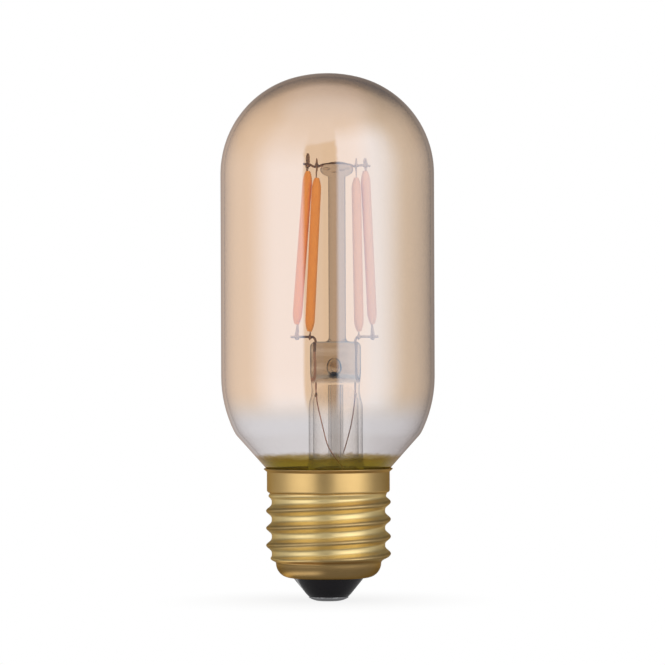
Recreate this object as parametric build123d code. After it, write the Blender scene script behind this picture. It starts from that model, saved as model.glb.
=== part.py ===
from build123d import *

import os
from math import atan2, cos, degrees, hypot, radians, sin, sqrt, tan

# Glass envelope
BULB_DIAMETER = 45.0
GLASS_WALL = 0.7
CROWN_CLEARANCE = 19.4  # from the top bridge wire up to the crown
CROWN_INSET = 1.5  # from the axis to the centre of the dome's corner arc
CROWN_EXTRA = 6.0  # by how much the crown's radius exceeds the corner's
SHOULDER_RADIUS = 26.5
SHOULDER_TURN = 26.0  # degrees
CORNER_RADIUS = 5.0  # between the shoulder and the cone
CONE_ANGLE = 41.6  # degrees from the axis
NECK_DIAMETER = 22.0
NECK_DEPTH = 4.9  # of the neck's cut end below the collar's top
GLASS_CLEARANCE = 0.1  # between the glass cone and the collar

# Screw cap, brass sheet, in steps outwards from the glass neck that it is cemented to
SHELL_WALL = 0.3
NECK_CLEARANCE = 0.75  # between the neck and the bore inside the thread
THREAD_DEPTH = 1.1
THREAD_PITCH = 3.629
THREAD_LENGTH = 14.8  # from the bowl up to the collar
CREST_HEIGHT = 10.4  # above the cap's bottom, of a crest on the -X side
TURN_STEPS = 6  # level sections in each turn of the thread
RUN_OUT_STEPS = 2  # sections over which the thread fades into the bowl and the collar
COLLAR_STEP = 0.9  # from the bore inside the thread out to the collar's bore
COLLAR_LENGTH = 4.5
COLLAR_EDGE = 0.6
LIP_FLARE = 0.65
BOWL_STEP = 0.95  # from the thread's roots in to the bowl
BOWL_CORNER = 3.1
CAP_HOLE_DIAMETER = 13.8

# Insulator and centre contact
INSULATOR_HEIGHT = 4.0
INSULATOR_TOP_DIAMETER = 15.0
INSULATOR_TIP_DIAMETER = 9.5
INSULATOR_EDGE = 0.6
INSULATOR_FLANGE = 0.8  # width and height of the rim that grips the shell from inside
CONTACT_HEIGHT = 0.9
CONTACT_EDGE = 0.2
CONTACT_FLAT_DIAMETER = 3.6
RIVET_DIAMETER = 3.0
RIVET_LENGTH = 4.8

# Glass stem
STEM_OFFSET = 1.6  # the mount stands a little off the bulb's axis, towards +X
STEM_WALL = 0.9
STEM_DIAMETER = 10.8
STEM_LENGTH = 22.6  # from the seal at the neck up to the press
PRESS_LENGTH = 9.6
PRESS_THICKNESS = 4.4
PRESS_EDGE = 0.9
JAW_RADIUS = 3.0
JAW_FLOOR = 0.6  # glass between the tube's cavity and the pinched flats
BELL_TURN = 24.0  # degrees by which the tube flares out at the seal
BELL_MARGIN = 0.2  # between the bell's edge and the neck's bore
EXHAUST_DIAMETER = 3.2
EXHAUST_BORE = 1.9
EXHAUST_TAIL = 5.0  # below the seal
EXHAUST_TIP = 1.6  # length of the drawn-off point
VENT_HEIGHT = 4.0  # of the vent's centre above the cavity
VENT_DIAMETER = 2.6

# Support rod and its bead
ROD_DIAMETER = 3.6
ROD_OFFSET = 0.4  # from the stem's axis
ROD_SEAT = 2.0  # depth in the press
BEAD_LENGTH = 7.0
BEAD_HEIGHT = 3.4
BEAD_THICKNESS = 3.0
BEAD_DROP = 0.9  # of the bead's centre below the bridge wire

# Wires, measured across their flats
WIRE_SIDES = 8
BEND_RUNS = 3  # short straight runs that make up a bend
WIRE_DIAMETER = 0.5
SEAL_WIRE_DIAMETER = 0.4
OUTER_LEAD_DIAMETER = 0.3
LEAD_CLEARANCE = 0.1  # between a lead and the wall of the stem's cavity
LEAD_SEAT = 2.2  # depth of an inner lead in the press
LEAD_HEIGHT = 1.0  # of an inner lead's arm above the press
LEFT_LEAD_BEND = 1.3
RIGHT_LEAD_BEND = 0.5
WIRE_OVERHANG = 0.7  # of a wire beyond the last tab
BRIDGE_RISE = 0.3  # of the bridge wire's ends and middle
BRIDGE_BEND = 6.0
SEAL_WIRE_TAIL = 0.5
OUTER_LEAD_BEND = 1.2
LANE_CLEARANCE = 0.5  # between the exhaust tube and the leads that pass it
LEAD_CROSSING = 5.0  # of the outer leads' last bend above the seal
LEAD_FOOT = 3.0  # from the stem's axis to the left lead's foot on the board

# Filaments
COAT_LENGTH = 32.4
COAT_DIAMETER = 2.0
COAT_TIP_DIAMETER = 0.9
COAT_TAPER = 2.6
TAB_WIDTH = 0.8
TAB_THICKNESS = 0.3
TAB_REACH = 1.85  # from a coat's end to its wire, on average
TOP_TAB_OVERHANG = 1.5  # of a tab beyond its wire
BOTTOM_TAB_OVERHANG = 0.7
TAB_GAP = 0.15  # between the bead and the inner tabs
PAIR_GAP = -0.1  # side by side at the top, the pair overlaps in front view
FILAMENT_SHIFT = 0.75  # outer filaments sit this much high, inner ones low
FOOT_OFFSETS = {"left_outer": -8.35, "left_inner": -5.5, "right_inner": 5.0, "right_outer": 7.95}

# Driver inside the cap
BOARD_INSET = 0.6  # of the board's edge inside the bowl's wall
BOARD_CLEARANCE = 0.05
BOARD_THICKNESS = 1.2
EDGE_MARGIN = 0.2
RECTIFIER_SIZE = (4.7, 3.9, 1.5)
RECTIFIER_ANGLE = 31.0
CHIP_SIZE = (4.9, 3.9, 1.4)
CHIP_ANGLE = -85.0
CHIP_EDGE = 0.25
CAPACITOR_DIAMETER = 6.3
CAPACITOR_HEIGHT = 9.0
CAPACITOR_ANGLE = 180.0
CAPACITOR_EDGE = 0.5
FUSE_DIAMETER = 2.2
FUSE_LENGTH = 5.8
FUSE_ANGLE = 110.0
HOOKUP_DIAMETER = 0.6
SHELL_WIRE_INSET = 0.9
SHELL_WIRE_RISE = 2.2
SHELL_WIRE_BEND = 0.9

# Levels of the cap, upwards from the contact's face
rivet_top = CONTACT_HEIGHT + RIVET_LENGTH
cap_bottom = CONTACT_HEIGHT + INSULATOR_HEIGHT
cap_floor = cap_bottom + SHELL_WALL
bowl_top = cap_bottom + BOWL_CORNER
thread_top = bowl_top + THREAD_LENGTH
shelf_level = thread_top + COLLAR_EDGE  # of the step inside the collar
collar_top = thread_top + COLLAR_LENGTH

# Cap radii
neck_radius = NECK_DIAMETER / 2
bore_radius = neck_radius + NECK_CLEARANCE
root_radius = bore_radius + SHELL_WALL
bowl_radius = root_radius - BOWL_STEP
bowl_flat = bowl_radius - BOWL_CORNER
collar_bore = bore_radius + COLLAR_STEP
collar_radius = collar_bore + SHELL_WALL
collar_foot = collar_radius - COLLAR_EDGE
thread_throw = THREAD_DEPTH / 2
thread_mean = root_radius + thread_throw
thread_steps = round(TURN_STEPS * THREAD_LENGTH / THREAD_PITCH)
thread_step = THREAD_LENGTH / thread_steps
lip_mitre = SHELL_WALL * tan(radians(CONE_ANGLE) / 2)
lip_top = collar_top - lip_mitre + LIP_FLARE / tan(radians(CONE_ANGLE))

# Levels of the stem
seal_top = collar_top - NECK_DEPTH
seal_bottom = seal_top - STEM_WALL
cavity_top = seal_top + STEM_LENGTH
press_top = cavity_top + PRESS_LENGTH
lead_level = press_top + LEAD_HEIGHT
bridge_level = lead_level + COAT_LENGTH + 2 * TAB_REACH
bead_level = bridge_level - BEAD_DROP
crown_level = bridge_level + CROWN_CLEARANCE

# Stem radii and places across the bulb
tube_radius = STEM_DIAMETER / 2
bell_radius = neck_radius - GLASS_WALL - STEM_OFFSET - BELL_MARGIN
bell_curve = (bell_radius - tube_radius) / (1 - cos(radians(BELL_TURN)))
bell_top = seal_top + bell_curve * sin(radians(BELL_TURN))
rod_x = STEM_OFFSET + ROD_OFFSET
lead_reach = tube_radius - STEM_WALL - WIRE_DIAMETER / 2 - LEAD_CLEARANCE
lane = (EXHAUST_DIAMETER + OUTER_LEAD_DIAMETER) / 2 + LANE_CLEARANCE
tab_plane = (WIRE_DIAMETER + TAB_THICKNESS) / 2

# Driver levels
board_radius = bowl_radius - SHELL_WALL - BOARD_INSET
board_bottom = cap_floor + board_radius - bowl_flat + BOARD_CLEARANCE
board_top = board_bottom + BOARD_THICKNESS


def lathe(*edges):
    """Turn a closed profile of edges in (radius, height) about the axis."""
    return revolve(Plane.XZ * make_face(edges), Axis.Z)


def lathe_points(*points):
    """Turn a closed profile of straight lines about the axis."""
    return lathe(*Polyline(*points, close=True).edges())


def disc(radius, bottom, top):
    """A round solid about the axis between two levels."""
    return Pos(0, 0, bottom) * Cylinder(radius, top - bottom, align=(Align.CENTER, Align.CENTER, Align.MIN))


def wire(diameter, bend, *points):
    """A wire with two of its flats square to Y, each bend taken in a few short runs."""
    path = FilletPolyline(*points, radius=bend) if len(points) > 2 else Line(*points)
    stops = [path @ 0]
    for edge in path.edges():
        runs = BEND_RUNS if edge.geom_type == GeomType.CIRCLE else 1
        stops += [edge @ ((run + 1) / runs) for run in range(runs)]
    start = Plane(origin=path @ 0, x_dir=(0, 1, 0), z_dir=path % 0)
    section = RegularPolygon(diameter / 2, WIRE_SIDES, major_radius=False, rotation=180 / WIRE_SIDES)
    return sweep(start * section, path=Polyline(*stops), transition=Transition.RIGHT)


def on_board(radius, angle):
    """A place on top of the board, turned to face outwards."""
    return Rot(0, 0, angle) * Pos(radius, 0, board_top)


def bulb_form(inset):
    """The solid inside the envelope's outer surface, or inside its bore when inset by the wall."""
    shoulder, cone = radians(SHOULDER_TURN), radians(CONE_ANGLE)
    bulb_radius = BULB_DIAMETER / 2
    corner = bulb_radius - CROWN_INSET
    crown = corner + CROWN_EXTRA
    crown_centre = (0, crown_level - crown)
    corner_centre = (CROWN_INSET, crown_centre[1] + sqrt(CROWN_EXTRA**2 - CROWN_INSET**2))
    crown_turn = degrees(atan2(corner_centre[1] - crown_centre[1], CROWN_INSET))
    seat_radius = collar_bore - GLASS_CLEARANCE

    def cone_level(radius):
        return collar_top + (radius - seat_radius) / tan(cone)

    cone_radius = (
        bulb_radius - SHOULDER_RADIUS * (1 - cos(shoulder)) - CORNER_RADIUS * (cos(shoulder) - cos(cone))
    )
    wall_bottom = (
        cone_level(cone_radius) + SHOULDER_RADIUS * sin(shoulder) + CORNER_RADIUS * (sin(cone) - sin(shoulder))
    )
    shoulder_centre = (bulb_radius - SHOULDER_RADIUS, wall_bottom)
    knuckle_centre = (
        shoulder_centre[0] + (SHOULDER_RADIUS - CORNER_RADIUS) * cos(shoulder),
        shoulder_centre[1] - (SHOULDER_RADIUS - CORNER_RADIUS) * sin(shoulder),
    )
    neck = neck_radius - inset

    crown_arc = CenterArc(crown_centre, crown - inset, 90, crown_turn - 90)
    corner_arc = CenterArc(corner_centre, corner - inset, crown_turn, -crown_turn)
    shoulder_arc = CenterArc(shoulder_centre, SHOULDER_RADIUS - inset, 0, -SHOULDER_TURN)
    knuckle_arc = CenterArc(knuckle_centre, CORNER_RADIUS - inset, -SHOULDER_TURN, SHOULDER_TURN - CONE_ANGLE)
    wall = Line(corner_arc @ 1, shoulder_arc @ 0)
    neck_top = (neck, cone_level(neck + inset / cos(cone)))
    rest = Polyline(knuckle_arc @ 1, neck_top, (neck, seal_top), (0, seal_top), crown_arc @ 0)
    return lathe(crown_arc, corner_arc, wall, shoulder_arc, knuckle_arc, *rest.edges())


def glass_envelope():
    return bulb_form(0) - bulb_form(GLASS_WALL)


def stem_form(inset, top):
    """The flare tube's solid up to a level, or the inside of it when inset by the wall."""
    bell = CenterArc((tube_radius + bell_curve, bell_top), bell_curve + inset, 180 + BELL_TURN, -BELL_TURN)
    foot = ((bell @ 0).X, seal_bottom)
    rest = Polyline(bell @ 1, (tube_radius - inset, top), (0, top), (0, seal_bottom), foot, bell @ 0)
    return Pos(STEM_OFFSET, 0, 0) * lathe(bell, *rest.edges())


def jaw(side):
    """What one jaw of the press pinches away from the tube's end."""
    flat = PRESS_THICKNESS / 2
    floor = cavity_top + JAW_FLOOR
    reach = tube_radius + JAW_RADIUS
    above = press_top + JAW_RADIUS
    hollow = CenterArc((flat + JAW_RADIUS, floor + JAW_RADIUS), JAW_RADIUS, 180, 90)
    outline = Polyline(hollow @ 1, (reach + flat, floor), (reach + flat, above), (flat, above), hollow @ 0)
    profile = Plane.YZ * make_face([hollow, *outline.edges()])
    block = Pos(STEM_OFFSET, 0, 0) * extrude(profile, reach, both=True)
    return block if side > 0 else mirror(block, Plane.XZ)


def vent():
    """The exhaust hole: up from the exhaust tube and out through the front of the press."""
    level = cavity_top + VENT_HEIGHT
    drill = Pos(STEM_OFFSET, 0, 0) * disc(EXHAUST_BORE / 2, cavity_top, level)
    mouth = Pos(STEM_OFFSET, 0, level) * Rot(90, 0, 0) * Cylinder(
        VENT_DIAMETER / 2, PRESS_THICKNESS, align=(Align.CENTER, Align.CENTER, Align.MIN)
    )
    return drill + mouth


def stem_glass():
    seal_ring = disc(neck_radius, seal_bottom, seal_top)
    body = stem_form(0, press_top) + seal_ring - jaw(1) - jaw(-1)
    rim = body.edges().group_by(Axis.Z)[-1]
    body = chamfer(rim, PRESS_EDGE)
    body -= stem_form(STEM_WALL, cavity_top)
    body -= vent()
    body -= rod_column()
    for side in ("left", "right"):
        body -= seal_wire(side)
        body -= inner_lead(side)
    return body


def exhaust_tube():
    """An open pipe at the top, drawn to a closed tip at the bottom."""
    outer, bore = EXHAUST_DIAMETER / 2, EXHAUST_BORE / 2
    tip = seal_bottom - EXHAUST_TAIL
    shoulder = tip + EXHAUST_TIP
    pipe = lathe_points(
        (0, tip), (outer, shoulder), (outer, cavity_top), (bore, cavity_top), (bore, shoulder), (0, shoulder)
    )
    return Pos(STEM_OFFSET, 0, 0) * pipe


def rod_column():
    return Pos(rod_x, 0, 0) * disc(ROD_DIAMETER / 2, press_top - ROD_SEAT, bead_level)


def support_rod():
    """The rod and its end, squeezed flat into an oval bead around the bridge wire."""
    oval = Plane.XZ * SlotOverall(BEAD_LENGTH, BEAD_HEIGHT)
    bead = extrude(oval, BEAD_THICKNESS / 2, both=True)
    return rod_column() + Pos(rod_x, 0, bead_level) * bead - top_bridge_wire()


def lead_x(side):
    return STEM_OFFSET + (lead_reach if side == "right" else -lead_reach)


def inner_lead(side):
    """Up out of the press, then sideways under the two filaments of its side."""
    outward = 1 if side == "right" else -1
    bend = RIGHT_LEAD_BEND if side == "right" else LEFT_LEAD_BEND
    x = lead_x(side)
    end = STEM_OFFSET + FOOT_OFFSETS[side + "_outer"] + outward * (TAB_WIDTH / 2 + WIRE_OVERHANG)
    return wire(
        WIRE_DIAMETER, bend, (x, 0, press_top - LEAD_SEAT), (x, 0, lead_level), (end, 0, lead_level)
    )


def seal_wire(side):
    x = lead_x(side)
    return wire(SEAL_WIRE_DIAMETER, 0, (x, 0, press_top - LEAD_SEAT), (x, 0, cavity_top - SEAL_WIRE_TAIL))


def outer_lead(side):
    """Down the flare past the exhaust tube, the left one in front of it and the right one behind."""
    front = -1 if side == "left" else 1
    x = lead_x(side)
    start = cavity_top - SEAL_WIRE_TAIL
    crossing = seal_top + LEAD_CROSSING
    across = STEM_OFFSET + (LEAD_FOOT if side == "left" else 0)
    before = STEM_OFFSET - lane / 2 if side == "left" else STEM_OFFSET + lane
    return wire(
        OUTER_LEAD_DIAMETER,
        OUTER_LEAD_BEND,
        (x, 0, start),
        (x, 0, start - 2 * OUTER_LEAD_BEND),
        (before, front * lane, crossing + 2 * lane),
        (across, front * lane, crossing),
        (across, front * lane, board_top),
    )


def filament_places():
    """Each filament's x at its foot and head, its side of the wires, and its slide along its axis."""
    inner = (BEAD_LENGTH + TAB_WIDTH) / 2 + TAB_GAP
    outer = inner + COAT_DIAMETER + PAIR_GAP
    heads = {"left_outer": -outer, "left_inner": -inner, "right_inner": inner, "right_outer": outer}
    places = {}
    for name, foot in FOOT_OFFSETS.items():
        side = 1 if "outer" in name else -1
        places[name] = (STEM_OFFSET + foot, rod_x + heads[name], side * tab_plane, side * FILAMENT_SHIFT)
    return places


def filament_frame(name):
    """A plane at the coat's lower end, with z along the filament."""
    foot_x, head_x, y, shift = filament_places()[name]
    foot = Vector(foot_x, y, lead_level)
    head = Vector(head_x, y, bridge_level)
    along = (head - foot).normalized()
    middle = (foot + head) / 2 + along * shift
    return Plane(origin=middle - along * COAT_LENGTH / 2, x_dir=(0, 1, 0), z_dir=along)


def filament_coat(name):
    radius, tip = COAT_DIAMETER / 2, COAT_TIP_DIAMETER / 2
    lower = TangentArc((radius, COAT_TAPER), (tip, 0), tangent=(0, -1))
    upper = TangentArc((radius, COAT_LENGTH - COAT_TAPER), (tip, COAT_LENGTH), tangent=(0, 1))
    side = Line(lower @ 0, upper @ 0)
    core = Polyline(lower @ 1, (0, 0), (0, COAT_LENGTH), upper @ 1)
    return filament_frame(name).location * lathe(lower, side, upper, *core.edges())


def filament_tab(name, end):
    """A flat strip from the coat's end past the wire that it is welded to."""
    shift = filament_places()[name][3]
    if end == "top":
        start, length = COAT_LENGTH, TAB_REACH - shift + TOP_TAB_OVERHANG
    else:
        length = TAB_REACH + shift + BOTTOM_TAB_OVERHANG
        start = -length
    strip = Box(TAB_THICKNESS, TAB_WIDTH, length, align=(Align.CENTER, Align.CENTER, Align.MIN))
    return filament_frame(name).location * Pos(0, 0, start) * strip


def top_bridge_wire():
    """One wire through the bead that carries the heads of all four filaments."""
    places = filament_places()
    reach = TAB_WIDTH / 2 + WIRE_OVERHANG
    left, right = places["left_outer"][1] - reach, places["right_outer"][1] + reach
    dip = BEAD_LENGTH / 2
    return wire(
        WIRE_DIAMETER,
        BRIDGE_BEND,
        (left, 0, bridge_level + BRIDGE_RISE),
        (rod_x - dip, 0, bridge_level),
        (rod_x - dip / 4, 0, bridge_level + BRIDGE_RISE),
        (rod_x + dip / 4, 0, bridge_level + BRIDGE_RISE),
        (rod_x + dip, 0, bridge_level),
        (right, 0, bridge_level - BRIDGE_RISE / 2),
    )


def screw_barrel():
    """The right-handed screw: level circles whose centre goes once round the axis in every pitch."""
    sections = []
    for step in range(thread_steps + 1):
        level = bowl_top + step * thread_step
        fade = min(step, thread_steps - step, RUN_OUT_STEPS) / RUN_OUT_STEPS
        end_radius = bowl_radius if step < RUN_OUT_STEPS else collar_foot
        radius = end_radius + fade * (thread_mean - end_radius)
        turn = radians(180 + 360 * (level - cap_bottom - CREST_HEIGHT) / THREAD_PITCH)
        throw = fade * thread_throw
        sections.append(Pos(throw * cos(turn), throw * sin(turn), level) * Circle(radius))
    return loft(sections, ruled=True)


def collar():
    return lathe_points(
        (0, thread_top),
        (collar_foot, thread_top),
        (collar_radius, thread_top + COLLAR_EDGE),
        (collar_radius, collar_top - lip_mitre),
        (collar_radius + LIP_FLARE, lip_top),
        (0, lip_top),
    )


def bowl():
    corner = CenterArc((bowl_flat, bowl_top), BOWL_CORNER, 270, 90)
    rest = Polyline(corner @ 1, (0, bowl_top), (0, cap_bottom), corner @ 0)
    return lathe(corner, *rest.edges())


def cap_space():
    """Everything inside the sheet: the hole for the insulator, the bowl, the bore and the collar."""
    hole = CAP_HOLE_DIAMETER / 2
    return lathe_points(
        (0, cap_bottom),
        (hole, cap_bottom),
        (hole, cap_floor),
        (bowl_flat, cap_floor),
        (bowl_radius - SHELL_WALL, bowl_top),
        (bore_radius, bowl_top + RUN_OUT_STEPS * thread_step),
        (bore_radius, shelf_level),
        (collar_bore, shelf_level),
        (collar_bore, collar_top),
        (collar_bore + (lip_top - collar_top) * tan(radians(CONE_ANGLE)), lip_top),
        (0, lip_top),
    )


def cap_shell():
    return screw_barrel() + bowl() + collar() - cap_space()


def cap_cement():
    bed = disc(collar_bore, shelf_level, collar_top - SHELL_WALL)
    return bed - bulb_form(0)


def cap_insulator():
    """A moulded cone that grips the edge of the shell's hole from both sides."""
    hole = CAP_HOLE_DIAMETER / 2
    top, tip = INSULATOR_TOP_DIAMETER / 2, INSULATOR_TIP_DIAMETER / 2
    return lathe_points(
        (RIVET_DIAMETER / 2, CONTACT_HEIGHT),
        (tip - INSULATOR_EDGE, CONTACT_HEIGHT),
        (tip, CONTACT_HEIGHT + INSULATOR_EDGE),
        (top, cap_bottom),
        (hole, cap_bottom),
        (hole, cap_floor),
        (hole + INSULATOR_FLANGE, cap_floor),
        (hole, cap_floor + INSULATOR_FLANGE),
        (RIVET_DIAMETER / 2, cap_floor + INSULATOR_FLANGE),
    )


def centre_contact():
    """A domed button on a rivet through the insulator."""
    edge = INSULATOR_TIP_DIAMETER / 2 - INSULATOR_EDGE
    rivet = RIVET_DIAMETER / 2
    dome = TangentArc((CONTACT_FLAT_DIAMETER / 2, 0), (edge, CONTACT_HEIGHT - CONTACT_EDGE), tangent=(1, 0))
    rest = Polyline(
        dome @ 1,
        (edge, CONTACT_HEIGHT),
        (rivet, CONTACT_HEIGHT),
        (rivet, rivet_top),
        (0, rivet_top),
        (0, 0),
        dome @ 0,
    )
    return lathe(dome, *rest.edges())


def driver_board():
    return disc(board_radius, board_bottom, board_top)


def chip_package(size):
    package = Box(*size, align=(Align.CENTER, Align.CENTER, Align.MIN))
    return chamfer(package.faces().sort_by(Axis.Z)[-1].edges(), CHIP_EDGE)


def bridge_rectifier():
    radius = board_radius - hypot(*RECTIFIER_SIZE[:2]) / 2 - EDGE_MARGIN
    return on_board(radius, RECTIFIER_ANGLE) * chip_package(RECTIFIER_SIZE)


def control_chip():
    radius = board_radius - hypot(*CHIP_SIZE[:2]) / 2 - EDGE_MARGIN
    return on_board(radius, CHIP_ANGLE) * chip_package(CHIP_SIZE)


def smoothing_capacitor():
    can = Cylinder(CAPACITOR_DIAMETER / 2, CAPACITOR_HEIGHT, align=(Align.CENTER, Align.CENTER, Align.MIN))
    can = chamfer(can.faces().sort_by(Axis.Z)[-1].edges(), CAPACITOR_EDGE)
    return on_board(board_radius - CAPACITOR_DIAMETER / 2 - EDGE_MARGIN, CAPACITOR_ANGLE) * can


def fuse_resistor():
    """A leadless round resistor, lying on the board."""
    tube = Pos(0, 0, FUSE_DIAMETER / 2) * Rot(90, 0, 0) * Cylinder(FUSE_DIAMETER / 2, FUSE_LENGTH)
    radius = sqrt((board_radius - EDGE_MARGIN) ** 2 - (FUSE_LENGTH / 2) ** 2) - FUSE_DIAMETER / 2
    return on_board(radius, FUSE_ANGLE) * tube


def contact_wire():
    return wire(HOOKUP_DIAMETER, 0, (0, 0, rivet_top), (0, 0, board_bottom))


def shell_wire():
    """Up from the board's edge and out against the inside of the shell."""
    x = board_radius - SHELL_WIRE_INSET
    level = board_top + SHELL_WIRE_RISE
    end = bore_radius - BOARD_CLEARANCE
    return wire(HOOKUP_DIAMETER, SHELL_WIRE_BEND, (x, 0, board_top), (x, 0, level), (end, 0, level))


def build():
    """Every piece of the bulb by its name."""
    pieces = {
        "glass_envelope": glass_envelope(),
        "stem_glass": stem_glass(),
        "exhaust_tube": exhaust_tube(),
        "support_rod": support_rod(),
        "top_bridge_wire": top_bridge_wire(),
        "cap_shell": cap_shell(),
        "cap_cement": cap_cement(),
        "cap_insulator": cap_insulator(),
        "centre_contact": centre_contact(),
        "driver_board": driver_board(),
        "bridge_rectifier": bridge_rectifier(),
        "control_chip": control_chip(),
        "smoothing_capacitor": smoothing_capacitor(),
        "fuse_resistor": fuse_resistor(),
        "contact_wire": contact_wire(),
        "shell_wire": shell_wire(),
    }
    for side in ("left", "right"):
        pieces[side + "_inner_lead"] = inner_lead(side)
        pieces[side + "_seal_wire"] = seal_wire(side)
        pieces[side + "_outer_lead"] = outer_lead(side)
    for name in FOOT_OFFSETS:
        pieces[name + "_filament"] = filament_coat(name)
        pieces[name + "_top_tab"] = filament_tab(name, "top")
        pieces[name + "_bottom_tab"] = filament_tab(name, "bottom")
    return pieces


os.makedirs("parts", exist_ok=True)
for node, shape in build().items():
    export_step(shape, f"parts/{node}.step")
print(f"overall length {crown_level:.2f} mm")
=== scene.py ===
import math

import bmesh
import bpy
from bpy.props import FloatProperty, FloatVectorProperty, IntProperty, PointerProperty
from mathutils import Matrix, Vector, noise


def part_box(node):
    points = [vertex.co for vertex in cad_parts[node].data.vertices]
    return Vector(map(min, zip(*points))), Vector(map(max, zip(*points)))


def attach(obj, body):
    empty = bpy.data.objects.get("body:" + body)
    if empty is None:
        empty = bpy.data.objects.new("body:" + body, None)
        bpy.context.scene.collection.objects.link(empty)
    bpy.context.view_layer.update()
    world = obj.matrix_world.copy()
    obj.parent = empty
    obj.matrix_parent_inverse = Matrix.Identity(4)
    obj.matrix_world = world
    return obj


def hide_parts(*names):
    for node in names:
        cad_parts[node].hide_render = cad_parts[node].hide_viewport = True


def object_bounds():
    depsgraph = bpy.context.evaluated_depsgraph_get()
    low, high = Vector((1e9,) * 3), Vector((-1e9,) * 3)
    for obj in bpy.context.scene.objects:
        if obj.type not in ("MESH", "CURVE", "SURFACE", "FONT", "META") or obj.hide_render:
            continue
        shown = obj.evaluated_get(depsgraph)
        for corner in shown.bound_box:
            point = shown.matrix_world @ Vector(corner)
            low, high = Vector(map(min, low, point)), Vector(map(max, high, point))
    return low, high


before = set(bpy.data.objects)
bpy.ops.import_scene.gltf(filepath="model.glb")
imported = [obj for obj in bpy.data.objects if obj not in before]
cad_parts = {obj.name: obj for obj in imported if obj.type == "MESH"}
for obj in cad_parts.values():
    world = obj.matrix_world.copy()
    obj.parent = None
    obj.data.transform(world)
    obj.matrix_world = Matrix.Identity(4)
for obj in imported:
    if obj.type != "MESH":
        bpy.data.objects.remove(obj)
cad_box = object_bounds()

bl_info = {
    "name": "Filament bulb",
    "version": (1, 0, 0),
    "blender": (4, 5, 0),
    "location": "View3D > Sidebar > Bulb",
    "description": "Dresses the packed filament bulb and sets up its studio",
    "category": "Object",
}

MM = 0.001
FILAMENTS = ("left_outer", "left_inner", "right_inner", "right_outer")
WHITE = (1.0, 1.0, 1.0)
SHARP_ANGLE = math.radians(35)

# How glass that was squeezed while soft ripples, and how square its section is
RIPPLE_SIZE = 2.4 * MM
RIPPLE_DEPTH = 0.14 * MM
PRESS_POWER = 4.5

# Outer leads from the press down: x in mm, share of the way to the front or back, z in mm
OUTER_LEAD_ROUTES = {
    "left": [
        (-2.55, 0.0, 44.5),
        (-2.5, 0.0, 42.4),
        (-1.2, 0.6, 37.0),
        (-0.2, 0.95, 32.6),
        (1.6, 1.0, 30.0),
        (3.7, 1.0, 27.2),
        (4.5, 1.0, 25.0),
        (4.6, 1.0, 18.0),
    ],
    "right": [
        (5.75, 0.0, 44.5),
        (5.7, 0.0, 42.4),
        (5.0, 0.5, 37.5),
        (4.1, 0.95, 34.0),
        (3.2, 1.0, 31.0),
        (1.9, 1.0, 27.4),
        (1.6, 1.0, 24.0),
        (1.6, 1.0, 18.0),
    ],
}

# The bridge wire from left to right, with its two ends left out: x and z in mm
BRIDGE_ROUTE = [
    (-3.9, 92.1),
    (-3.0, 91.45),
    (-1.9, 91.4),
    (-0.9, 91.95),
    (2.0, 92.1),
    (4.8, 91.9),
    (5.7, 91.4),
    (6.6, 91.65),
    (7.6, 91.75),
]
BRIDGE_LEFT_LEVEL = 92.0 * MM
BRIDGE_RIGHT_LEVEL = 91.5 * MM


def length(name, description, default):
    return FloatProperty(name=name, description=description, default=default, unit="LENGTH", precision=5)


def angle(name, description, default):
    return FloatProperty(name=name, description=description, default=math.radians(default), subtype="ANGLE")


def number(name, description, default):
    return FloatProperty(name=name, description=description, default=default)


def colour(name, description, default):
    return FloatVectorProperty(
        name=name, description=description, default=default, subtype="COLOR", min=0.0, max=1.0
    )


class BulbGlassSettings(bpy.types.PropertyGroup):
    """The tinted envelope."""

    gold: colour("Gold", "What one wall lets through where it is tinted", (0.973, 0.8, 0.632))
    smoke: colour("Smoke", "What one wall lets through where the tint is denser", (0.91, 0.772, 0.626))
    bare: colour("Bare", "What one wall lets through below the tint", (0.83, 0.805, 0.805))
    olive: colour("Olive", "What one wall lets through at the neck", (0.53, 0.44, 0.12))
    burnt: colour("Burnt", "What one wall lets through along the neck stain's upper edge", (0.5, 0.35, 0.13))
    cloud: colour("Cloud", "Cement that clouds the glass at the neck", (0.2, 0.155, 0.02))
    rim: colour("Rim", "What the wall lets through where it is seen edge on", (0.2, 0.15, 0.12))
    shine: colour("Shine", "Colour of the tint's mirror", (0.55, 0.75, 1.0))
    edge_shine: colour("Edge shine", "Colour of the mirror where the wall is seen edge on", (1.0, 0.8, 0.68))
    tint_low: length("Tint ends", "Height where the tint has faded out", 36.8 * MM)
    tint_high: length("Tint starts to fade", "Height above which the tint is full", 44.5 * MM)
    olive_level: length("Neck stain", "Height up to which the neck is stained", 30.5 * MM)
    crown_level: length("Crown", "Height above which the glass is thick and its edge darker", 107.0 * MM)
    tint_shine: number("Tint shine", "Share of light that the tint mirrors when seen square on", 0.25)
    bare_shine: number("Bare shine", "Share of light that bare glass mirrors when seen square on", 0.08)
    mirror_blur: number("Mirror blur", "Roughness of the glass's outside", 0.04)


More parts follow.
